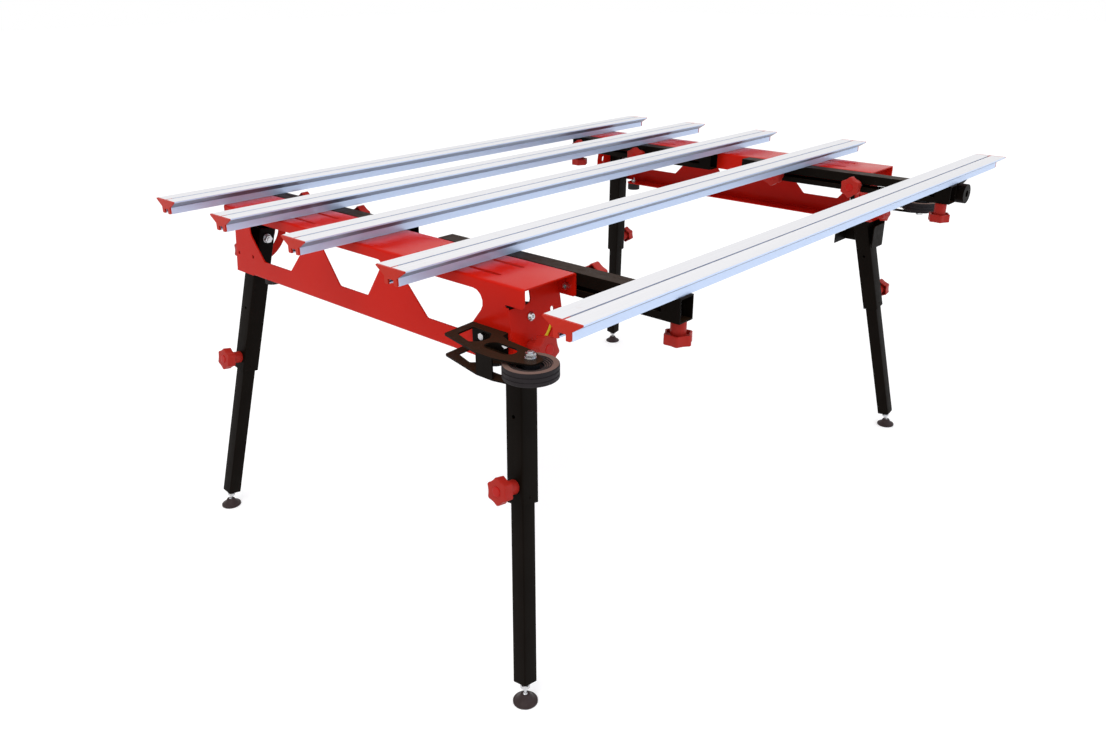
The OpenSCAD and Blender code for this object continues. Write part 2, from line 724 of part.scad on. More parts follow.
module frame_bolts() color("silver") placed() {
    for (side_x = [left, right]) {
        for (side_y = [near, far]) at_corner(side_x, side_y) {
            pivot_bolt();
            bumper_bolt();
            for (y = [clamp_in_y, clamp_out_y]) translate([0, y, 0]) clamp_nut();
        }
        at_corner(side_x, near) {
            axle_bolt();
            for (y = bracket_bolts) side_bolt(y, bracket_bolt_z, sheet_t);
        }
    }
    at_corner(right, near) for (y = bracket_bolts) side_bolt(y, stop_bolt_z, sheet_t);
    rail_bolt_set(rail_3_y);
}

module bumpers() color("dimgray") placed()
    for (side_x = [left, right], side_y = [near, far]) at_corner(side_x, side_y)
        translate([bumper_x, bumper_y, beam_bottom - bumper_h]) difference() {
            cylinder(d = bumper_d, h = bumper_h);
            translate([0, 0, -over]) cylinder(d = m8_head_w + bolt_past, h = bumper_h / 2 + over);
            cylinder(d = rail_bolt_d + 2 * fit, h = bumper_h + over);
        }

// Legs
module tube(w, wall, r, low, high) translate([0, 0, low]) linear_extrude(high - low) difference() {
    polygon(box_outline(w, r));
    polygon(box_outline(w - 2 * wall, r - wall / 2));
}

module leg_outer(side_x, side_y) color("dimgray") in_leg(side_x, side_y) {
    difference() {
        union() {
            tube(leg_w, leg_wall, leg_r, -leg_outer_l, leg_outer_above);
            guide_wall = (leg_w - leg_inner_w) / 2 - gap;
            tube(leg_w, guide_wall, leg_r, -leg_outer_l, -leg_outer_l + leg_guide_l);
        }
        rotate([90, 0, 0]) cylinder(d = stem_d + 2 * fit, h = leg_w + over, center = true);
        translate([0, 0, -arc_slot_r]) rotate([-90, 0, 0]) cylinder(d = stud_d + 2 * fit, h = leg_w);
        translate([0, 0, -height_knob_below]) rotate([0, 90, 0]) cylinder(d = stud_d + 2 * fit, h = leg_w);
        translate([0, 0, -peg_hole_below]) rotate([0, 90, 0])
            cylinder(d = peg_hole_d, h = leg_w + over, center = true);
    }
    for (s = [-1, 1]) translate([0, s * leg_w / 2, -rivet_below]) rotate([-90 * s, 0, 0])
        translate([0, 0, -leg_wall / 2]) cylinder(d = rivet_d, h = leg_wall / 2 + rivet_h);
}

module leg_inner(side_x, side_y) color("dimgray") in_leg(side_x, side_y) difference() {
    union() {
        tube(leg_inner_w, leg_inner_wall, leg_r - leg_wall / 3, -inner_end, -leg_inner_top);
        translate([0, 0, -inner_end]) linear_extrude(leg_plug_l)
            polygon(box_outline(leg_inner_w - leg_inner_wall, leg_r - leg_wall / 3));
    }
    translate([0, 0, -inner_end - over]) cylinder(d = stem_d + 2 * fit, h = leg_plug_l + 2 * over);
}

module foot_stem(side_x, side_y) color("silver") in_leg(side_x, side_y) translate([0, 0, -ball_below]) {
    sphere(d = ball_d);
    cylinder(d = stem_neck_d, h = stem_free_l / 2 + over);
    translate([0, 0, stem_free_l / 2]) hex(stem_nut_w, stem_nut_h);
    translate([0, 0, stem_free_l / 2 + stem_nut_h - over])
        cylinder(d = stem_d, h = stem_free_l / 2 - stem_nut_h + over + stem_inside_l);
}

// The ball stands where the leg's line meets the height of the ball
foot_x = pivot_x + (pivot_z - ball_z) * tan(leg_spread) / cos(end_lean);
pad_waist_share = 0.72;
pad_waist_h_share = 0.22;
module foot_pad(side_x, side_y) color("dimgray") placed()
    translate([side_x * foot_x, side_y * foot_y, 0]) difference() {
        rotate_extrude() polygon([
            [0, 0], [pad_d / 2 - over, 0], [pad_d / 2, over], [pad_d / 2, pad_edge_h],
            [pad_d / 2 * pad_waist_share, pad_edge_h + pad_h * pad_waist_h_share],
            [pad_top_d / 2 + over, pad_h - over], [pad_top_d / 2, pad_h], [0, pad_h]
        ]);
        translate([0, 0, ball_z]) sphere(d = ball_d + 2 * ball_gap);
    }

// Knobs, along Z with the neck's end at z = 0
lobe_points = 36;
lobe_depth_share = 0.12;
function lobes(r) = [
    for (i = [0:lobe_points - 1]) let (t = 360 * i / lobe_points)
        r * (1 - lobe_depth_share * (1 - cos(6 * t)) / 2) * [cos(t), sin(t)]
];

module knob_body() {
    cylinder(d = knob_neck_d, h = knob_neck_l + knob_h - over);
    translate([0, 0, knob_neck_l]) difference() {
        linear_extrude(knob_h) polygon(lobes(knob_d / 2));
        translate([0, 0, -over]) linear_extrude(knob_h - knob_wall + over)
            polygon(lobes(knob_d / 2 - knob_wall));
    }
    translate([0, 0, knob_neck_l + knob_h - over]) cylinder(d = knob_cap_d, h = knob_cap_h + over);
    for (t = [0:60:300]) rotate(t + 30) translate([0, -knob_wall / 4, knob_neck_l + knob_wall])
        cube([knob_d / 2 - knob_wall, knob_wall / 2, knob_h - knob_wall - over]);
}

module male_knob(stud_l) {
    knob_body();
    translate([0, 0, -stud_l]) cylinder(d = stud_d, h = stud_l + over);
}

module leg_knob(side_x, side_y) color("crimson") in_leg(side_x, side_y)
    translate([0, plate_out + gap, -arc_slot_r]) rotate([-90, 0, 0])
        male_knob(plate_out + gap - leg_w / 2 + leg_wall);

module height_knob(side_x, side_y) color("crimson") in_leg(side_x, side_y)
    translate([leg_w / 2 + gap, 0, -height_knob_below]) rotate([0, 90, 0])
        male_knob((leg_w - leg_inner_w) / 2);

module clamp_knob(side_x, side_y, y) color("crimson") placed() at_corner(side_x, side_y)
    translate([ext_in_x - gap, y, stud_z]) rotate([0, -90, 0])
        male_knob(ext_w + 2 * gap + sheet_t + m8_nut_h / 2);

// A rail knob turns on the T-bolt that hangs from its rail
module rail_knob(side_x, y) color("crimson") placed()
    translate([side_x * rail_bolt_x, y, lip_bottom - gap]) {
        bore = knob_neck_l + knob_h / 2;
        difference() {
            rotate([180, 0, 0]) knob_body();
            translate([0, 0, -bore]) cylinder(d = stud_d + 2 * fit, h = bore + over);
        }
        up = lip_h + gap + rail_wall + gap;
        translate([0, 0, up]) cylinder(d = bolt_head_d, h = bolt_head_h);
        translate([0, 0, -bore + over]) cylinder(d = stud_d, h = bore + up);
    }

// Extensions
module extension(y, l, bolt_y) difference() {
    translate([ext_in_x, y, lip_bottom]) cube([ext_w, l, ext_h]);
    translate([ext_in_x + ext_wall, y - over, lip_bottom + ext_wall])
        cube([ext_w - 2 * ext_wall, l + 2 * over, ext_h - 2 * ext_wall]);
    translate([ext_in_x - over, y + l / 2, stud_z]) rotate([90, 0, 90])
        linear_extrude(ext_w + 2 * over) rotate(90) slot_shape(ext_slot_h, l - 2 * ext_end_l);
    translate([rail_bolt_x, bolt_y, lip_bottom - over])
        cylinder(d = stud_d + 2 * fit, h = lip_h + 2 * over);
}

module near_extensions() color("dimgray") placed()
    for (side = [left, right]) at_side(side) extension(near_ext_y, near_ext_l, rail_5_y);
module far_extensions() color("dimgray") placed()
    for (side = [left, right]) at_side(side) extension(far_ext_y, far_ext_l, rail_1_y);

// End stop: a tapered arm under rail 5 with a rubber on its near side
module end_stop() color("dimgray") placed() translate([ext_in_x + ext_w, near_ext_y, beam_top]) {
    arm_y = ext_past - sheet_t;
    translate([0, arm_y, 0]) plate_y(0, sheet_t) polygon([
        [0, 0], [stop_arm_l, 0], [stop_arm_l, -stop_arm_tip], [stop_arm_l / 2, -stop_arm_h], [0, -lip_h]
    ]);
    translate([0, arm_y, -lip_h]) cube([sheet_t, stop_foot_l, lip_h]);
    translate([buffer_x, arm_y - gap, -buffer_d / 2 - rail_wall]) rotate([90, 0, 0]) difference() {
        cylinder(d = buffer_d, h = buffer_l);
        translate([0, 0, buffer_l / 2]) cylinder(d = buffer_bore_d, h = buffer_l);
    }
}

// Wheels: a moulded wheel with a grooved tread, and rings that step down to the hub on its faces
tread_groove = 2;
ring_from = 12;
ring_step = 4;
ring_drop = 1;
ring_count = 4;
module wheel_shape() {
    hub_half = (bracket_h - 2 * sheet_t) / 2 - 2 * gap;
    half = wheel_w / 2;
    r = wheel_d / 2;
    bore = axle_d / 2 + fit;
    face = [
        for (i = [0:ring_count - 1])
            let (edge = r - ring_from - ring_step * i, top = half - ring_drop * i)
                each [[edge, top], [edge - ring_drop, top - tread_groove]]
    ];
    floor_z = half - ring_drop * (ring_count - 1) - tread_groove;
    up = concat(
        [[r - tread_groove, half / 4], [r, half / 4 + tread_groove], [r, half - tread_groove],
            [r - tread_groove, half]],
        face,
        [[hub_d / 2, floor_z], [hub_d / 2, hub_half], [bore, hub_half]]
    );
    polygon(concat(up, [for (i = [len(up) - 1:-1:0]) [up[i].x, -up[i].y]]));
}

module wheel(side) color("dimgray") placed() at_corner(side, near)
    translate([wheel_x, wheel_y, bracket_top_z - bracket_h / 2]) rotate_extrude() wheel_shape();

beam_left();
beam_right();
wheel_brackets();
leg_stop_bracket();
frame_bolts();
bumpers();
leg_outer(left, near);  // leg_outer_near_left
leg_outer(right, near);  // leg_outer_near_right
leg_outer(left, far);  // leg_outer_far_left
leg_outer(right, far);  // leg_outer_far_right
leg_inner(left, near);  // leg_inner_near_left
leg_inner(right, near);  // leg_inner_near_right
leg_inner(left, far);  // leg_inner_far_left
leg_inner(right, far);  // leg_inner_far_right
foot_stem(left, near);  // foot_stem_near_left
foot_stem(right, near);  // foot_stem_near_right
foot_stem(left, far);  // foot_stem_far_left
foot_stem(right, far);  // foot_stem_far_right
foot_pad(left, near);  // foot_pad_near_left
foot_pad(right, near);  // foot_pad_near_right
foot_pad(left, far);  // foot_pad_far_left
foot_pad(right, far);  // foot_pad_far_right
leg_knob(left, near);  // leg_knob_near_left
leg_knob(right, near);  // leg_knob_near_right
leg_knob(left, far);  // leg_knob_far_left
leg_knob(right, far);  // leg_knob_far_right
height_knob(left, near);  // height_knob_near_left
height_knob(right, near);  // height_knob_near_right
height_knob(left, far);  // height_knob_far_left
height_knob(right, far);  // height_knob_far_right
near_extensions();
far_extensions();
end_stop();
clamp_knob(left, near, clamp_out_y);  // clamp_knob_near_left_outer
clamp_knob(left, near, clamp_in_y);  // clamp_knob_near_left_inner
clamp_knob(right, near, clamp_out_y);  // clamp_knob_near_right_outer
clamp_knob(right, near, clamp_in_y);  // clamp_knob_near_right_inner
clamp_knob(left, far, clamp_out_y);  // clamp_knob_far_left_outer
clamp_knob(left, far, clamp_in_y);  // clamp_knob_far_left_inner
clamp_knob(right, far, clamp_out_y);  // clamp_knob_far_right_outer
clamp_knob(right, far, clamp_in_y);  // clamp_knob_far_right_inner
rail_knob(left, rail_5_y);  // rail_knob_near_left
rail_knob(right, rail_5_y);  // rail_knob_near_right
rail_knob(left, rail_1_y);  // rail_knob_far_left
rail_knob(right, rail_1_y);  // rail_knob_far_right
stop_knob();
wheel(left);  // wheel_left
wheel(right);  // wheel_right
rail(rail_1_y);  // rail_1
rail(rail_2_y);  // rail_2
rail(rail_3_y);  // rail_3
rail(rail_4_y);  // rail_4
rail(rail_5_y);  // rail_5
rail_caps(rail_1_y);  // rail_1_caps
rail_caps(rail_2_y);  // rail_2_caps
rail_caps(rail_3_y);  // rail_3_caps
rail_caps(rail_4_y);  // rail_4_caps
rail_caps(rail_5_y);  // rail_5_caps
rail_bolts(rail_2_y);  // rail_2_bolts
rail_bolts(rail_4_y);  // rail_4_bolts
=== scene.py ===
"""Looks of the slab work table: finishes, and detailed knobs, wheels, feet and bolts."""
import json
import math

import bmesh
import bpy
from mathutils import Matrix, Vector

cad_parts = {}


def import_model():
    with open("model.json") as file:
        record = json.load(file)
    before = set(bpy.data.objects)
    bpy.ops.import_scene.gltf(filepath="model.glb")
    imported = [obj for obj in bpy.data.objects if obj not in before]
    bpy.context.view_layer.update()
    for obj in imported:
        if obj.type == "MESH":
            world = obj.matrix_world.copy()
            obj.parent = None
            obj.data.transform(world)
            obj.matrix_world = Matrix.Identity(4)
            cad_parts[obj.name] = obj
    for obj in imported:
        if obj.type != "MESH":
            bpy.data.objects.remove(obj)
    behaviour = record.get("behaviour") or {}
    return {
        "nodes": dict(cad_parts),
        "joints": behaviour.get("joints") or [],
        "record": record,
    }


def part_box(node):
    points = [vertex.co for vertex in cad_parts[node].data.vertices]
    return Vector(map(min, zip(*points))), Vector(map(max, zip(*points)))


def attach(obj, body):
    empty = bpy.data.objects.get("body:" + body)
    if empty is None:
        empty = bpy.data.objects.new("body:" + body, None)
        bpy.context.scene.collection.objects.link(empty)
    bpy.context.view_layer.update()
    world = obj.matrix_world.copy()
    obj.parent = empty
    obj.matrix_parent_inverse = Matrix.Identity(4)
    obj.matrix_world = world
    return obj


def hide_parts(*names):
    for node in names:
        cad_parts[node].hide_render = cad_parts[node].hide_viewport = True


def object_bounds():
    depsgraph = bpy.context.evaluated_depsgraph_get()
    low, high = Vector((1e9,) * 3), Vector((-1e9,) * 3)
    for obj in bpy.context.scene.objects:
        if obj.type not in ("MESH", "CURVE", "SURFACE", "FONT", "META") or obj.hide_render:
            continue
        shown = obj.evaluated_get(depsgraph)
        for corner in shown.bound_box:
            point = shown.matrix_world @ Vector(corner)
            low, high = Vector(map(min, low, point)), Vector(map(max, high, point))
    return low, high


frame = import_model()
cad_low, cad_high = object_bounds()
MM = 0.001
JOINTS = {joint["child"]: joint for joint in frame["joints"]}
SLOTS = {part["node"]: part["material_slot"] for part in frame["record"]["subparts"]}
CORNERS = ("near_left", "near_right", "far_left", "far_right")

# Camera, worked out from the photograph
IMAGE_W = 1106
FOCAL_PX = 924.8
SENSOR = 36.0
CAMERA_AT = (-1.8621, -1.5031, 1.3311)
CAMERA_HEADING = math.radians(42.69)
CAMERA_DIP = math.radians(22.93)
CAMERA_ROLL = math.radians(-0.51)
CAMERA_REACH = 100


def camera():
    data = bpy.data.cameras.new("camera")
    data.sensor_width = SENSOR
    data.lens = FOCAL_PX / IMAGE_W * SENSOR
    data.clip_end = CAMERA_REACH
    cam = bpy.data.objects.new("camera", data)
    forward = Vector((
        math.cos(CAMERA_HEADING) * math.cos(CAMERA_DIP),
        math.sin(CAMERA_HEADING) * math.cos(CAMERA_DIP),
        -math.sin(CAMERA_DIP),
    ))
    level = forward.to_track_quat("-Z", "Y").to_matrix()
    rolled = level @ Matrix.Rotation(CAMERA_ROLL, 3, "Z")
    cam.matrix_world = Matrix.Translation(CAMERA_AT) @ rolled.to_4x4()
    bpy.context.scene.collection.objects.link(cam)
    bpy.context.scene.camera = cam


# Shader helpers

def feed(tree, value, socket):
    """Gives a socket a value, or another node's output."""
    if isinstance(value, bpy.types.NodeSocket):
        tree.links.new(value, socket)
    else:
        socket.default_value = value


def node_of(tree, kind, inputs=None, **settings):
    """A new node: settings are its properties, inputs go by the socket's name or number."""
    made = tree.nodes.new(kind)
    for name, value in settings.items():
        setattr(made, name, value)
    for socket, value in (inputs or {}).items():
        feed(tree, value, made.inputs[socket])
    return made


def calculated(tree, operation, a, b):
    return node_of(tree, "ShaderNodeMath", {0: a, 1: b}, operation=operation).outputs[0]


def mixed(tree, factor, a, b):
    mix = node_of(tree, "ShaderNodeMix", {"Factor": factor, "A": a, "B": b}, data_type="RGBA")
    return mix.outputs["Result"]


def opaque(color):
    return (*color, 1.0)


def scaled(color, factor):
    return tuple(factor * c for c in color)


class Paint:
    """A material under construction: a Principled shader and the nodes that vary it."""

    def __init__(self, name, color, roughness, metallic=0.0, specular=0.5):
        self.material = bpy.data.materials.new(name)
        self.material.use_nodes = True
        self.tree = self.material.node_tree
        self.sockets = self.tree.nodes["Principled BSDF"].inputs
        self.sockets["Base Color"].default_value = self.color = opaque(color)
        self.sockets["Roughness"].default_value = self.roughness = roughness
        self.sockets["Metallic"].default_value = metallic
        self.sockets["Specular IOR Level"].default_value = specular
        self.place = node_of(self.tree, "ShaderNodeTexCoord").outputs["Object"]

    def height(self, vector):
        return node_of(self.tree, "ShaderNodeSeparateXYZ", {"Vector": vector}).outputs["Z"]

    def stretched(self, scale):
        """Object coordinates scaled by axis, for grain that runs one way."""
        mapping = node_of(self.tree, "ShaderNodeMapping", {"Vector": self.place, "Scale": scale})
        return mapping.outputs["Vector"]

    def noise(self, scale, detail=3.0, vector=None):
        inputs = {"Vector": vector or self.place, "Scale": scale, "Detail": detail}
        return node_of(self.tree, "ShaderNodeTexNoise", inputs).outputs["Fac"]

    def ranged(self, value, low, high, from_low=0.3, from_high=0.7):
        """Maps a value, by default the middle of a noise, to the range from low to high."""
        return node_of(self.tree, "ShaderNodeMapRange", {
            "Value": value, "From Min": from_low, "From Max": from_high,
            "To Min": low, "To Max": high,
        }).outputs["Result"]

    def facing_up(self, low, high):
        """0 where the normal's height is low, and 1 where it is high."""
        way = node_of(self.tree, "ShaderNodeTexCoord").outputs["Normal"]
        return self.ranged(self.height(way), 0.0, 1.0, low, high)

    def below(self, height):
        """1 where the surface lies below a height, 0 where it lies above."""
        return calculated(self.tree, "LESS_THAN", self.height(self.place), height)

    def tint(self, factor, other):
        """Mixes another colour into the base colour by a factor."""
        base = self.sockets["Base Color"]
        before = base.links[0].from_socket if base.is_linked else self.color
        self.tree.links.new(mixed(self.tree, factor, before, opaque(other)), base)

    def vary_roughness(self, value, amount):
        varied = self.ranged(value, self.roughness - amount, self.roughness + amount)
        self.tree.links.new(varied, self.sockets["Roughness"])

    def bump(self, value, height):
        raised = node_of(self.tree, "ShaderNodeBump", {
            "Height": value, "Distance": height, "Strength": 1.0})
        self.tree.links.new(raised.outputs["Normal"], self.sockets["Normal"])


# Finishes

def mottled(name, color, roughness, other, patches, coarse, grain, top=None, **shader):
    """A finish that noises vary.

    patches: scale and share of the other colour. coarse: scale and amount of the change in
    roughness. grain: scale, detail and height of the bump. top: between which heights of
    the normal a surface turns to another colour, and that colour: a painted top light that
    the upward faces take.
    """
    paint = Paint(name, color, roughness, **shader)
    scale, share = patches
    paint.tint(paint.ranged(paint.noise(scale), 0.0, share), other)
    # Painted top light: upward faces turn to a lighter colour.
    if top:
        (low, high), painted_top_light = top
        paint.tint(paint.facing_up(low, high), painted_top_light)
    scale, amount = coarse
    paint.vary_roughness(paint.noise(scale), amount)
    scale, detail, height = grain
    paint.bump(paint.noise(scale, detail), height)
    return paint.material


def glossy_plastic(name, color, roughness):
    return mottled(
        name, color, roughness, scaled(color, 0.86), patches=(45, 0.5), coarse=(120, 0.05),
        grain=(1400, 2.0, 0.06 * MM), specular=0.14)


def rubber(name, color, roughness=0.62, top=None):
    return mottled(
        name, color, roughness, scaled(color, 1.5), patches=(60, 0.7), coarse=(150, 0.08),
        grain=(1100, 3.0, 0.12 * MM), top=top, specular=0.14)


RAIL_TOP = (0.76, 0.76, 0.78)
RAIL_STREAK = (0.70, 0.70, 0.73)
RAIL_STAIN = (0.60, 0.52, 0.50)
# Painted reflection: the sides are painted pale blue for the blue near light that they reflect.
RAIL_SIDE_PAINTED_REFLECTION = (0.57, 0.66, 0.84)
# Painted shade: the undersides are painted dark grey-blue for the shade below the rail's head.
RAIL_UNDERSIDE_SHADE = (0.19, 0.21, 0.27)
# Painted shade: the groove's floor is painted dark brown for the shade in that recess.
RAIL_GROOVE_SHADE = (0.20, 0.12, 0.10)
GROOVE_BELOW = cad_high.z - 2 * MM
RAIL_ANISOTROPY = 0.3
GRAIN_STRETCH = (3, 900, 900)
STREAK_STRETCH = (1.2, 160, 160)
STAIN_SCALE = 38


def rail_aluminium():
    """Drawn along X, with a few stains, a painted blue reflection on its sides, painted grey shade
    below, and painted shade in the groove on top.
    """
    paint = Paint("rail_aluminium", RAIL_TOP, 0.38, metallic=0.5)
    grain = paint.noise(1.0, 4.0, paint.stretched(GRAIN_STRETCH))
    streaks = paint.noise(1.0, 3.0, paint.stretched(STREAK_STRETCH))
    paint.tint(paint.ranged(streaks, 0.0, 0.5), RAIL_STREAK)
    stains = paint.noise(STAIN_SCALE, 6.0)
    paint.tint(paint.ranged(stains, 0.0, 0.3, 0.66, 0.76), RAIL_STAIN)
    # Painted reflection: the sides take a pale-blue painted reflection.
    paint.tint(paint.facing_up(0.6, 0.2), RAIL_SIDE_PAINTED_REFLECTION)
    # Painted shade on the downward faces.
    paint.tint(paint.facing_up(-0.2, -0.6), RAIL_UNDERSIDE_SHADE)
    # Painted shade on the upward faces low in the groove.
    groove = calculated(paint.tree, "MULTIPLY", paint.facing_up(0.8, 0.95),
                        paint.below(GROOVE_BELOW))
    paint.tint(groove, RAIL_GROOVE_SHADE)
    paint.vary_roughness(grain, 0.06)
    paint.bump(grain, 0.03 * MM)
    paint.sockets["Anisotropic"].default_value = RAIL_ANISOTROPY
    return paint.material


MATERIALS = {
    "red_powder_coat": mottled(
        "red_powder_coat", (0.52, 0.010, 0.003), 0.22, (0.45, 0.007, 0.004),
        patches=(5, 0.35), coarse=(26, 0.03), grain=(420, 2.0, 0.02 * MM), specular=0.06),
    # The black coat's upward faces are painted lighter brown: painted top light.
    "black_powder_coat": mottled(
        "black_powder_coat", (0.0046, 0.0030, 0.0020), 0.42, (0.0072, 0.0052, 0.0038),
        patches=(14, 0.6), coarse=(60, 0.06), grain=(900, 2.0, 0.08 * MM),
        top=((0.8, 0.95), (0.026, 0.013, 0.007)), specular=0.03),
    "rail_aluminium": rail_aluminium(),
    "red_knob_plastic": glossy_plastic("red_knob_plastic", (0.38, 0.016, 0.010), 0.42),
    "red_cap_plastic": glossy_plastic("red_cap_plastic", (0.47, 0.016, 0.004), 0.36),
    "zinc_steel": mottled(
        "zinc_steel", (0.55, 0.56, 0.60), 0.28, (0.50, 0.48, 0.43),
        patches=(160, 0.6), coarse=(300, 0.08), grain=(900, 2.0, 0.04 * MM), metallic=1.0),
    "black_rubber": rubber("black_rubber", (0.020, 0.018, 0.018)),
    "black_plastic": rubber("black_plastic", (0.030, 0.019, 0.019), 0.5),
    # The tyre's upward ring faces are painted lighter brown: painted top light.
    "wheel_rubber": rubber("wheel_rubber", (0.014, 0.011, 0.012),
                           top=((0.93, 0.99), (0.165, 0.100, 0.082))),
}
KNOB_CAP_PLASTIC = glossy_plastic("knob_cap_plastic", (0.42, 0.008, 0.005), 0.30)
HUB_PLASTIC = rubber("hub_plastic", (0.010, 0.010, 0.011), 0.45)
YELLOW_STRIP = glossy_plastic("yellow_strip", (0.80, 0.58, 0.02), 0.4)

# Finish of the CAD nodes
SHARP_ANGLE = math.radians(32)
WELD = 0.01 * MM
BEVEL_ANGLE = math.radians(50)
BEVEL_SEGMENTS = 2
CAP_BEVEL = 0.5 * MM
BEVELS = {
    "beam_left": 0.35 * MM, "beam_right": 0.35 * MM, "wheel_brackets": 0.6 * MM,
    "leg_stop_bracket": 0.6 * MM, "near_extensions": 0.8 * MM, "far_extensions": 0.8 * MM,
    "end_stop": 0.6 * MM, "frame_bolts": 0.5 * MM, "bumpers": 1.0 * MM,
    "rail_2_bolts": 0.4 * MM, "rail_4_bolts": 0.4 * MM,
}


def soft_edges():
    """Nodes that weld a CAD mesh and shade its small facets smooth."""
    tree = bpy.data.node_groups.new("soft_edges", "GeometryNodeTree")
    for way in ("INPUT", "OUTPUT"):
        tree.interface.new_socket("Geometry", in_out=way, socket_type="NodeSocketGeometry")
    start = node_of(tree, "NodeGroupInput")
    weld = node_of(tree, "GeometryNodeMergeByDistance", {
        "Geometry": start.outputs[0], "Distance": WELD})
    angle = node_of(tree, "GeometryNodeInputMeshEdgeAngle")
    sharp = node_of(tree, "FunctionNodeCompare", {
        "A": angle.outputs["Unsigned Angle"], "B": SHARP_ANGLE}, operation="GREATER_THAN")
    plain = node_of(tree, "GeometryNodeSetMeshNormal", {
        "Mesh": weld.outputs["Geometry"], "Remove Custom": True,
        "Edge Sharpness": sharp.outputs["Result"]})
    node_of(tree, "NodeGroupOutput", {0: plain.outputs["Mesh"]})
    return tree


SOFT_EDGES = soft_edges()


def finish_node(name):
    node = frame["nodes"][name]
    slot = SLOTS[name]
    node.data.materials.clear()
    node.data.materials.append(MATERIALS[slot])
    soften = node.modifiers.new("soft_edges", "NODES")
    soften.node_group = SOFT_EDGES
    width = BEVELS.get(name, CAP_BEVEL if name.endswith("_caps") else 0.0)
    if width:
        edge = node.modifiers.new("bevel", "BEVEL")
        edge.width = width
        edge.segments = BEVEL_SEGMENTS
        edge.limit_method = "ANGLE"
        edge.angle_limit = BEVEL_ANGLE
        edge.use_clamp_overlap = True
        edge.harden_normals = True


# Mesh helpers

def finished_mesh(name, bm, sharp=SHARP_ANGLE):
    mesh = bpy.data.meshes.new(name)
    bmesh.ops.recalc_face_normals(bm, faces=bm.faces)
    bm.to_mesh(mesh)
    bm.free()
    mesh.shade_smooth()
    mesh.set_sharp_from_angle(angle=sharp)
    return mesh


def add_piece(name, mesh, body, slot, place=None, materials=None):
    """A piece of a mesh that others may share, in its slot's finish unless materials are given."""
    if not mesh.materials:
        for material in materials or [MATERIALS[slot]]:
            mesh.materials.append(material)
    piece = bpy.data.objects.new(name, mesh)
    bpy.context.scene.collection.objects.link(piece)
    if place is not None:
        piece.matrix_world = place
    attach(piece, body)
    return piece


def add_moved(name, bm, body, slot, move, materials=None):
    """A piece with its own mesh, whose points are moved, so that its noise lies in the frame."""
    piece = add_piece(name, finished_mesh(name, bm), body, slot, materials=materials)
    piece.data.transform(move)
    return piece


def steps(count):
    return [2 * math.pi * i / count for i in range(count)]


def circle_points(r, z, count):
    return [(r * math.cos(t), r * math.sin(t), z) for t in steps(count)]


def ring(bm, points):
    return [bm.verts.new(p) for p in points]


def circles(bm, profile, count):
    """Rings of the profile's radii and heights; a radius of 0 gives a single point."""
    return [ring(bm, circle_points(r, z, count) if r else [(0, 0, z)]) for r, z in profile]


def lid(bm, loop, material=0):
    bm.faces.new(loop).material_index = material


def skin(bm, loops, material=0):
    """Joins each loop to the next one, also where one of the two is a single point."""
    count = max(len(loop) for loop in loops)
    for low, high in zip(loops, loops[1:]):
        for i in range(count):
            k = (i + 1) % count
            if len(low) == 1:
                corners = (low[0], high[i], high[k])
            elif len(high) == 1:
                corners = (high[0], low[i], low[k])
            else:
                corners = (low[i], low[k], high[k], high[i])
            bm.faces.new(corners).material_index = material


def solid(bm, loops):
    """Skins the loops and closes both ends."""
    lid(bm, loops[0])
    lid(bm, loops[-1])
    skin(bm, loops)


def turned_ring(half, count):
    """A turned solid with a hole. Half is its profile on one side, mirrored to the other."""
    bm = bmesh.new()
    rings = circles(bm, half + [(r, -z) for r, z in reversed(half)], count)
    skin(bm, rings + rings[:1])
    return bm


def in_mm(profile):
    return [(r * MM, z * MM) for r, z in profile]


def arc(r, centre_z, angles):
    """Points of a circle about the axis' point at centre_z, by angle above the level."""
    turns = [math.radians(angle) for angle in angles]
    return [(r * math.cos(t), centre_z + r * math.sin(t)) for t in turns]


def axis_matrix(origin, axis, turn=0.0):
    """Local Z along axis, from origin."""
    upright = Vector(axis).to_track_quat("Z", "X").to_matrix().to_4x4()
    return Matrix.Translation(origin) @ upright @ Matrix.Rotation(turn, 4, "Z")


def joint_line(body):
    """The point and axis of a body's joint."""
    return Vector(JOINTS[body]["pos_m"]), Vector(JOINTS[body]["axis"])


def along(name, point, axis):
    """The lowest and highest places of a CAD node along an axis through a point."""
    values = [(v.co - point).dot(axis) for v in frame["nodes"][name].data.vertices]
    return min(values), max(values)


# Threads

THREAD_STEPS = 20
THREAD_ROWS = 4  # per turn
THREAD_SHARP = math.radians(50)
THREAD_CHAMFER = 0.4  # of the radius
STUD_R = 4 * MM
STUD_PITCH = 1.25 * MM
STUD_DEPTH = 0.6 * MM


def thread_mesh(name, r, length, pitch, depth, count=THREAD_STEPS):
    """A stud along Z from 0 to length, with a real helical thread and chamfered ends."""
    bm = bmesh.new()
    lead = THREAD_CHAMFER * r
    rows = max(int(length / (pitch / THREAD_ROWS)), THREAD_ROWS)
    loops = []
    for i in range(rows + 1):
        z = length * i / rows
        limit = r - max(0.0, lead - z, z - (length - lead))
        points = []
        for t in steps(count):
            wave = abs(((z / pitch - t / (2 * math.pi)) % 1.0) * 2 - 1)
            place = min(r - depth * wave, limit)
            points.append((place * math.cos(t), place * math.sin(t), z))
        loops.append(ring(bm, points))
    solid(bm, loops)
    return finished_mesh(name, bm, THREAD_SHARP)


# Knobs: sizes as in the CAD model

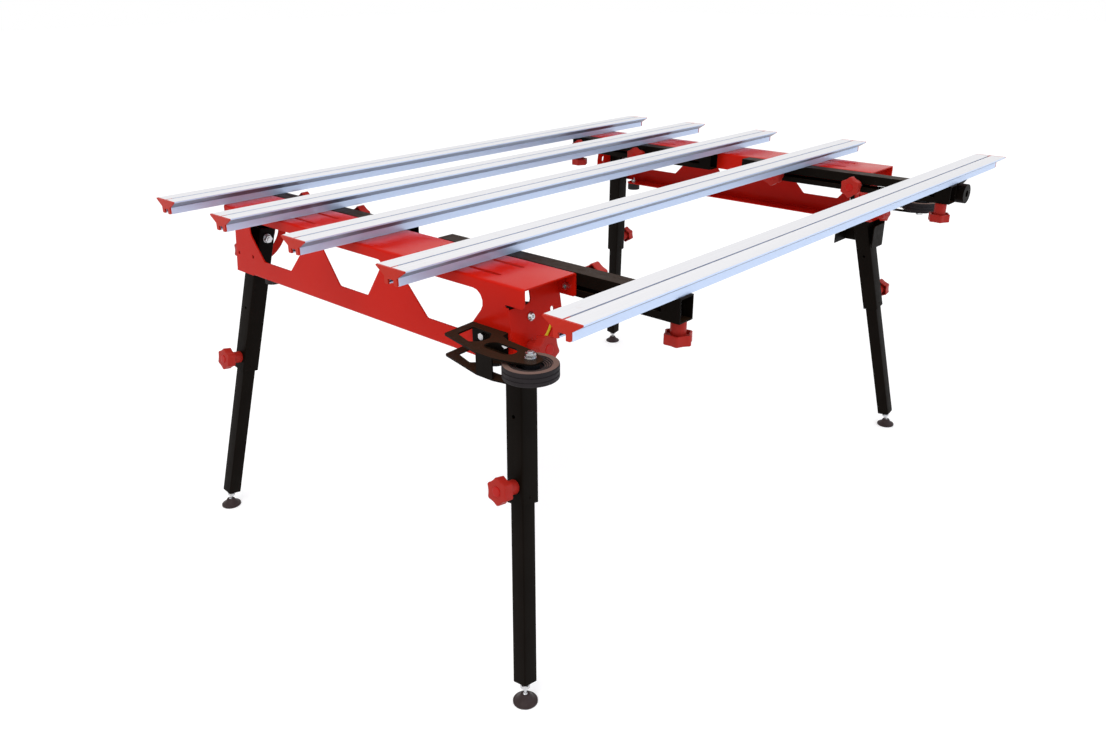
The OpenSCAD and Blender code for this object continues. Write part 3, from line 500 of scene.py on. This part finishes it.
KNOB_STEPS = 72
KNOB_SIDES = 6
SECTOR = 2 * math.pi / KNOB_SIDES
KNOB_R = 27.5 * MM
KNOB_SIDE_R = 23.2 * MM
KNOB_CORNER_R = 5.4 * MM
KNOB_HEAD_H = 20 * MM
KNOB_NECK_R = 14.5 * MM
KNOB_NECK_L = 27 * MM
KNOB_WALL = 4 * MM
KNOB_CAP_R = 10.5 * MM
KNOB_CAP_H = 1.2 * MM
KNOB_EDGE = 1.6 * MM
KNOB_SOFT = 0.5 * MM
KNOB_SEAM = 0.25 * MM
KNOB_TOP = KNOB_NECK_L + KNOB_HEAD_H
KNOB_FLOOR = KNOB_TOP - KNOB_WALL
# Radius and height, from the neck's foot into the hollow of the head
NECK_PROFILE = (
    (KNOB_NECK_R - 1.2 * MM, 0), (KNOB_NECK_R - 0.4 * MM, 0.35 * MM), (KNOB_NECK_R, 1.2 * MM),
    (KNOB_NECK_R + 0.1 * MM, KNOB_NECK_L - 4 * MM),
    (KNOB_NECK_R + 0.1 * MM, KNOB_FLOOR - 1 * MM), (KNOB_NECK_R + 1.1 * MM, KNOB_FLOOR),
)
# Distance inward of the head's outline and height, from the hollow over the rim to the top
HEAD_PROFILE = (
    (KNOB_WALL + KNOB_SOFT, KNOB_FLOOR), (KNOB_WALL, KNOB_FLOOR - KNOB_SOFT),
    (KNOB_WALL - 0.6 * MM, KNOB_NECK_L + KNOB_SOFT), (KNOB_WALL - 1.0 * MM, KNOB_NECK_L),
    (1.0 * MM, KNOB_NECK_L), (0.35 * MM, KNOB_NECK_L + KNOB_SOFT),
    (0, KNOB_TOP - KNOB_EDGE), (0.25 * KNOB_EDGE, KNOB_TOP - 0.45 * KNOB_EDGE),
    (0.7 * KNOB_EDGE, KNOB_TOP - 0.1 * KNOB_EDGE), (1.5 * KNOB_EDGE, KNOB_TOP),
)
# Radius and height, over the low lip round the cap into the seam, and over the cap
LIP_PROFILE = (
    (KNOB_CAP_R + 2.8 * MM, KNOB_TOP + KNOB_SEAM), (KNOB_CAP_R + 1.4 * MM, KNOB_TOP + KNOB_SEAM),
    (KNOB_CAP_R + 0.35 * MM, KNOB_TOP - KNOB_SEAM),
)
CAP_PROFILE = (
    (KNOB_CAP_R, KNOB_TOP - KNOB_SEAM), (KNOB_CAP_R - 0.3 * MM, KNOB_TOP + 0.7 * KNOB_CAP_H),
    (KNOB_CAP_R - 1.2 * MM, KNOB_TOP + KNOB_CAP_H), (KNOB_CAP_R * 0.5, KNOB_TOP + KNOB_CAP_H),
)
RIB_HALF_T = 1.0 * MM
RIB_REACH = (KNOB_NECK_R - 0.5 * MM, KNOB_SIDE_R - 0.5 * KNOB_WALL)
RIB_HEIGHTS = (KNOB_NECK_L + 3 * MM, KNOB_FLOOR + 0.5 * MM)
HEAD_TURN_DEG = {"height_knob_near_left": 12, "leg_knob_near_left": 8}
STUD_SUNK = 6 * MM
T_HEAD_R = 9 * MM
T_HEAD_H = 5 * MM
T_HEAD_SOFT = 0.5 * MM
T_HEAD_STEPS = 32


def ray_to_circle(way, centre, radius, side):
    """How far out a direction crosses a circle: at its far side for 1, its near side for -1."""
    middle = centre.dot(way)
    return middle + side * math.sqrt(radius ** 2 - centre.length_squared + middle ** 2)


def star(offset, z):
    """Outline of the knob's head, moved inward: rounded corners joined by shallow hollows."""
    corner = Vector((KNOB_R - KNOB_CORNER_R, 0))
    side = Vector((math.cos(SECTOR / 2), math.sin(SECTOR / 2)))
    depth = KNOB_SIDE_R - corner.dot(side)
    half = corner.length * side.y
    hollow_r = (depth ** 2 + half ** 2 - KNOB_CORNER_R ** 2) / (2 * (KNOB_CORNER_R - depth))
    hollow = side * (KNOB_SIDE_R + hollow_r)
    touch = corner + (hollow - corner).normalized() * (KNOB_CORNER_R - offset)
    limit = math.atan2(touch.y, touch.x)
    points = []
    for t in steps(KNOB_STEPS):
        turn = abs((t + SECTOR / 2) % SECTOR - SECTOR / 2)
        way = Vector((math.cos(turn), math.sin(turn)))
        if turn < limit:
            r = ray_to_circle(way, corner, KNOB_CORNER_R - offset, 1)
        else:
            r = ray_to_circle(way, hollow, hollow_r + offset, -1)
        points.append((r * math.cos(t), r * math.sin(t), z))
    return points


def knob_mesh():
    bm = bmesh.new()
    body = circles(bm, NECK_PROFILE, KNOB_STEPS)
    body += [ring(bm, star(offset, z)) for offset, z in HEAD_PROFILE]
    body += circles(bm, LIP_PROFILE, KNOB_STEPS)
    cap = circles(bm, CAP_PROFILE, KNOB_STEPS)
    lid(bm, body[0])
    skin(bm, body)
    skin(bm, [body[-1], *cap], 1)
    lid(bm, cap[-1], 1)
    ribs(bm)
    return finished_mesh("knob", bm)


def ribs(bm):
    """Ribs in the hollow of the head, at the middles of its sides."""
    inner, outer = RIB_REACH
    t = RIB_HALF_T
    corners = ((inner, -t), (outer, -t), (outer, t), (inner, t))
    for angle in steps(KNOB_SIDES):
        turn = Matrix.Rotation(angle + SECTOR / 2, 4, "Z")
        solid(bm, [ring(bm, [turn @ Vector((x, y, z)) for x, y in corners]) for z in RIB_HEIGHTS])


def knobs():
    mesh = knob_mesh()
    total = KNOB_TOP + KNOB_CAP_H
    for body, nodes in frame["record"]["behaviour"]["bodies"].items():
        for node in nodes:
            if "_knob_" not in node:
                continue
            point, axis = joint_line(body)
            low, high = along(node, point, axis)
            origin = point + axis * (high - total)
            turn = math.radians(HEAD_TURN_DEG.get(node, 0))
            piece = add_piece(node + "_head", mesh, body, "red_knob_plastic",
                              axis_matrix(origin, axis, turn),
                              [MATERIALS["red_knob_plastic"], KNOB_CAP_PLASTIC])
            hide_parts(node)
            knob_stud(node, body, axis, origin, high - total - low)


def knob_stud(node, body, axis, origin, length):
    """A knob's stud, from inside its neck to its tip, which holds a rail knob's T-head."""
    mesh = thread_mesh(node + "_stud", STUD_R, length + STUD_SUNK, STUD_PITCH, STUD_DEPTH)
    add_piece(node + "_stud", mesh, body, "zinc_steel",
              axis_matrix(origin + axis * STUD_SUNK, -axis))
    if node.startswith("rail_knob"):
        bm = bmesh.new()
        skin(bm, circles(bm, (
            (0, -T_HEAD_H), (T_HEAD_R - T_HEAD_SOFT, -T_HEAD_H),
            (T_HEAD_R, -T_HEAD_H + T_HEAD_SOFT), (T_HEAD_R, -T_HEAD_SOFT),
            (T_HEAD_R - T_HEAD_SOFT, 0), (0, 0),
        ), T_HEAD_STEPS))
        add_moved(node + "_bolt_head", bm, body, "zinc_steel",
                  Matrix.Translation(origin - axis * length))


STOP_R = 12.5 * MM
STOP_HEAD_H = 12 * MM
STOP_SOFT = 1.2 * MM
STOP_WAVE = 0.05
STOP_NECK_R = 7.2 * MM
STOP_NECK_L = 4 * MM
STOP_STEPS = 48
STOP_NECK_STEPS = 32


def wavy_points(r, z):
    """A circle that dips a little between the corners of the small knob."""
    points = []
    for t in steps(STOP_STEPS):
        here = r * (1 - STOP_WAVE * (1 - math.cos(KNOB_SIDES * t)))
        points.append((here * math.cos(t), here * math.sin(t), z))
    return points


def stop_knob():
    """The small knob on the leg stop."""
    body = "stop_lock"
    point, axis = joint_line(body)
    low, high = along("stop_knob", point, axis)
    base = high - STOP_HEAD_H
    bm = bmesh.new()
    solid(bm, [ring(bm, wavy_points(r, z)) for r, z in (
        (STOP_R - STOP_SOFT, base), (STOP_R, base + STOP_SOFT),
        (STOP_R, high - STOP_SOFT), (STOP_R - STOP_SOFT, high),
    )])
    skin(bm, circles(bm, (
        (0, base + STOP_SOFT), (STOP_NECK_R, base + STOP_SOFT),
        (STOP_NECK_R, base - STOP_NECK_L), (0, base - STOP_NECK_L),
    ), STOP_NECK_STEPS))
    piece = add_moved("stop_knob_head", bm, body, "red_knob_plastic", axis_matrix(point, axis))
    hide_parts("stop_knob")
    mesh = thread_mesh("stop_stud", STUD_R, base - low, STUD_PITCH, STUD_DEPTH)
    add_piece("stop_knob_stud", mesh, body, "zinc_steel", axis_matrix(point + axis * base, -axis))


# Wheels

WHEEL_STEPS = 96
TYRE_R = 50 * MM
TYRE_HALF = 12.5 * MM
TYRE_SHOULDER = 1.2 * MM
SEAT_EDGE = 0.8 * MM
SEAT_DROP = 6.5 * MM
RING_COUNT = 4
RING_FROM = 12 * MM
RING_STEP = 4 * MM
RING_DROP = 1 * MM
TYRE_INNER_R = TYRE_R - RING_FROM - RING_STEP * RING_COUNT
# In mm: a ring's profile, inward of its edge and below its top, and the tread's, outward of
# the tyre's radius and above its middle
RING_PROFILE = ((-0.5, 0), (0, 0.4), (0.7, 2), (1.6, 2), (2.4, 1.3))
TREAD_PROFILE = ((-0.35, 11.6), (0, 10.3), (0, 5.2), (-1.1, 4.6), (-1.1, 3.8), (0, 3.2))
HUB_R = TYRE_INNER_R - 0.6 * MM
HUB_BORE_R = 5.05 * MM
HUB_BOSS_R = 15 * MM
HUB_HALF = 4 * MM
HUB_SOFT = 1 * MM


def tyre_profile():
    """Upper half of the tyre's profile: from the hub's seat over the rings to the tread."""
    side = [(TYRE_R - TYRE_SHOULDER, TYRE_HALF)]
    for i in range(RING_COUNT):
        edge, top = TYRE_R - RING_FROM - RING_STEP * i, TYRE_HALF - RING_DROP * i
        side += [(edge - inward, top - down) for inward, down in in_mm(RING_PROFILE)]
    side += [(TYRE_INNER_R + SEAT_EDGE, TYRE_HALF - RING_DROP * RING_COUNT),
             (TYRE_INNER_R, TYRE_HALF - SEAT_DROP)]
    return side[::-1] + [(TYRE_R + out, up) for out, up in in_mm(TREAD_PROFILE)]


def hub_profile(half_h):
    """Lower half of the hub's profile, from its bore over the boss and disc to its rim."""
    return [
        (HUB_BORE_R, -half_h), (HUB_BOSS_R - HUB_SOFT, -half_h), (HUB_BOSS_R, HUB_SOFT - half_h),
        (HUB_BOSS_R + HUB_SOFT, -HUB_HALF), (HUB_R - 2 * HUB_SOFT, -HUB_HALF),
        (HUB_R, -HUB_HALF - HUB_SOFT),
    ]


def wheels():
    for node in ("wheel_left", "wheel_right"):
        low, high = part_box(node)
        place = Matrix.Translation((low + high) / 2)
        tyre = turned_ring(tyre_profile(), WHEEL_STEPS)
        piece = add_moved(node + "_tyre", tyre, node, "wheel_rubber", place)
        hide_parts(node)
        hub = turned_ring(hub_profile((high.z - low.z) / 2), WHEEL_STEPS)
        add_moved(node + "_hub", hub, node, "black_plastic", place, [HUB_PLASTIC])


# Feet

# In mm: radius and height of a pad, from its middle below to the mouth of its socket
PAD_PROFILE = (
    (0, 0), (23.8, 0), (25, 1), (25, 4.2), (24.3, 5.2), (21.5, 6.2), (18, 8.6), (14, 12.2),
    (11.8, 15.4), (11.2, 16), (10.9, 17.4), (10.2, 18.2), (9.2, 19.6), (8.4, 20), (5.6, 20),
)
PAD_STEPS = 64
SOCKET_R = 6.3 * MM
SOCKET_ANGLES = range(40, -90, -13)
BALL_R = 6 * MM
BALL_ANGLES = range(-75, 61, 15)
# In mm: radius of the stem and height above its ball's middle
STEM_PROFILE = ((3, 6.6), (3, 13), (5.6, 14.4), (5.6, 15.5), (0, 15.5))
STEM_STEPS = 32
NUT_ACROSS = 17 * MM
NUT_FROM, NUT_TO = 15 * MM, 22 * MM
NUT_CHAMFER = 0.99
NUT_SLOPE = math.tan(math.radians(30))
NUT_STEPS = 48
FOOT_THREAD_R = 5 * MM
FOOT_THREAD_L = 53 * MM
FOOT_THREAD_PITCH = 1.5 * MM
FOOT_THREAD_DEPTH = 0.8 * MM
FOOT_THREAD_STEPS = 24


def feet():
    for name in CORNERS:
        pad_body, stem_body = "foot_" + name, "foot_screw_" + name
        ball = Vector(JOINTS[pad_body]["pos_m"])
        up = Vector(JOINTS[stem_body]["axis"])
        bm = bmesh.new()
        socket = arc(SOCKET_R, ball.z, SOCKET_ANGLES) + [(0, ball.z - SOCKET_R)]
        skin(bm, circles(bm, in_mm(PAD_PROFILE) + socket, PAD_STEPS))
        piece = add_moved("foot_pad_" + name + "_dome", bm, pad_body, "black_plastic",
                          Matrix.Translation((ball.x, ball.y, 0)))
        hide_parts("foot_pad_" + name)
        foot_stem(name, stem_body, ball, up)


def foot_stem(name, body, ball, up):
    bm = bmesh.new()
    profile = [(0, -BALL_R)] + arc(BALL_R, 0, BALL_ANGLES) + in_mm(STEM_PROFILE)
    skin(bm, circles(bm, profile, STEM_STEPS))
    nut(bm)
    piece = add_moved("foot_stem_" + name + "_ball_and_nut", bm, body, "zinc_steel",
                      axis_matrix(ball, up))
    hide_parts("foot_stem_" + name)
    mesh = thread_mesh("foot_thread_" + name, FOOT_THREAD_R, FOOT_THREAD_L, FOOT_THREAD_PITCH,
                       FOOT_THREAD_DEPTH, FOOT_THREAD_STEPS)
    add_piece("foot_stem_" + name + "_thread", mesh, body, "zinc_steel",
              axis_matrix(ball + up * NUT_TO, up))


def nut(bm):
    """A hexagon nut with chamfered corners."""
    apothem = NUT_ACROSS / 2
    round_r = NUT_CHAMFER * apothem

    def outline(z, way):
        """The hexagon with its corners bent towards the middle of the nut."""
        points = []
        for t in steps(NUT_STEPS):
            r = apothem / math.cos((t + SECTOR / 2) % SECTOR - SECTOR / 2)
            drop = max(0.0, r - round_r) * NUT_SLOPE
            points.append((r * math.cos(t), r * math.sin(t), z + way * drop))
        return ring(bm, points)

    def end(z):
        return ring(bm, circle_points(round_r, z, NUT_STEPS))

    solid(bm, [end(NUT_FROM), outline(NUT_FROM, 1), outline(NUT_TO, -1), end(NUT_TO)])


# Yellow strips behind the arc slots

STRIP_IN, STRIP_OUT = 50 * MM, 66 * MM
STRIP_FROM, STRIP_TO = 24, 72
STRIP_OFF, STRIP_T = 22.3 * MM, 1 * MM
STRIP_STEPS = 24
STRIP_LEGS = ("near_left", "near_right")


def yellow_strips():
    for name in STRIP_LEGS:
        body = "leg_" + name
        pivot = Vector(JOINTS[body]["pos_m"])
        lock, out = joint_line("leg_lock_" + name)
        down = lock - pivot
        down = (down - out * down.dot(out)).normalized()
        inward = out.cross(down)
        if inward.x * pivot.x > 0:
            inward = -inward
        back, front = out * STRIP_OFF, out * (STRIP_OFF + STRIP_T)
        bm = bmesh.new()
        loops = []
        for i in range(STRIP_STEPS + 1):
            t = math.radians(STRIP_FROM + (STRIP_TO - STRIP_FROM) * i / STRIP_STEPS)
            way = down * math.cos(t) + inward * math.sin(t)
            near, far = pivot + way * STRIP_IN, pivot + way * STRIP_OUT
            loops.append(ring(bm, [near + back, far + back, far + front, near + front]))
        solid(bm, loops)
        strip = "yellow_strip_" + name
        add_piece(strip, finished_mesh(strip, bm), body, "black_plastic",
                  materials=[YELLOW_STRIP])


# Stage

WHITE = (1, 1, 1, 1)
WORLD_SIDE = opaque((0.50, 0.46, 0.44))
WORLD_NEAR = opaque((0.52, 0.72, 1.0))
WORLD_TOP = opaque((1.0, 0.99, 0.99))
WORLD_STRENGTH = 1.0
NEAR_FADE = (-0.25, -0.8)
TOP_FADE = (0.05, 0.6)
FLOOR_HALF = 30
FLOOR_COLOR = opaque((0.82, 0.82, 0.82))
FLOOR_ROUGHNESS = 0.9
FLOOR_SPECULAR = 0.1
FLOOR_GLOW = 0.3
LAMP_AIM = Vector((0, 0, 0.6))
# Name, place, size, power and colour
LAMPS = (
    ("key", (-2.6, -1.0, 3.6), (2.6, 2.6), 54, (1.0, 0.98, 0.95)),
    ("fill", (1.6, -4.2, 1.6), (3.2, 2.0), 33, (0.66, 0.84, 1.0)),
)


def seen_ray(tree):
    """1 for the rays that show the background: the camera's, and those off metal and glass."""
    path = node_of(tree, "ShaderNodeLightPath")
    seen = path.outputs["Is Camera Ray"]
    for name in ("Is Glossy Ray", "Is Transmission Ray"):
        seen = calculated(tree, "MAXIMUM", seen, path.outputs[name])
    return seen


def world():
    """White where it is seen, and bluer light from the near side and white light from above."""
    made = bpy.data.worlds.new("studio")
    bpy.context.scene.world = made
    made.use_nodes = True
    tree = made.node_tree
    tree.nodes.clear()
    place = node_of(tree, "ShaderNodeTexCoord").outputs["Generated"]
    direction = node_of(tree, "ShaderNodeSeparateXYZ", {"Vector": place})

    def rising(axis, fade):
        inputs = {"Value": direction.outputs[axis], "From Min": fade[0], "From Max": fade[1]}
        made = node_of(tree, "ShaderNodeMapRange", inputs, interpolation_type="SMOOTHSTEP")
        return made.outputs["Result"]

    around = mixed(tree, rising("Y", NEAR_FADE), WORLD_SIDE, WORLD_NEAR)
    around = mixed(tree, rising("Z", TOP_FADE), around, WORLD_TOP)
    light = node_of(tree, "ShaderNodeBackground", {"Color": around, "Strength": WORLD_STRENGTH})
    seen = node_of(tree, "ShaderNodeBackground", {"Color": WHITE})
    mix = node_of(tree, "ShaderNodeMixShader", {
        "Fac": seen_ray(tree), 1: light.outputs["Background"], 2: seen.outputs["Background"]})
    node_of(tree, "ShaderNodeOutputWorld", {"Surface": mix.outputs["Shader"]})


def floor():
    mesh = bpy.data.meshes.new("floor")
    half = FLOOR_HALF
    corners = [(-half, -half, 0), (half, -half, 0), (half, half, 0), (-half, half, 0)]
    mesh.from_pydata(corners, [], [(0, 1, 2, 3)])
    made = bpy.data.objects.new("floor", mesh)
    bpy.context.scene.collection.objects.link(made)
    made.location.z = cad_low.z
    material = bpy.data.materials.new("pale_floor")
    material.use_nodes = True
    tree = material.node_tree
    sockets = tree.nodes["Principled BSDF"].inputs
    sockets["Base Color"].default_value = FLOOR_COLOR
    sockets["Roughness"].default_value = FLOOR_ROUGHNESS
    sockets["Specular IOR Level"].default_value = FLOOR_SPECULAR
    sockets["Emission Color"].default_value = WHITE
    tree.links.new(calculated(tree, "MULTIPLY", seen_ray(tree), FLOOR_GLOW),
                   sockets["Emission Strength"])
    mesh.materials.append(material)


def lamps():
    for name, at, size, power, color in LAMPS:
        data = bpy.data.lights.new(name, "AREA")
        data.shape = "RECTANGLE"
        data.size, data.size_y = size
        data.energy = power
        data.color = color
        made = bpy.data.objects.new(name, data)
        made.location = at
        made.rotation_mode = "QUATERNION"
        made.rotation_quaternion = (LAMP_AIM - Vector(at)).to_track_quat("-Z", "Y")
        bpy.context.scene.collection.objects.link(made)


camera()
bpy.context.scene.view_settings.view_transform = "Standard"
world()
floor()
lamps()
for node_name in SLOTS:
    finish_node(node_name)
knobs()
stop_knob()
wheels()
feet()
yellow_strips()
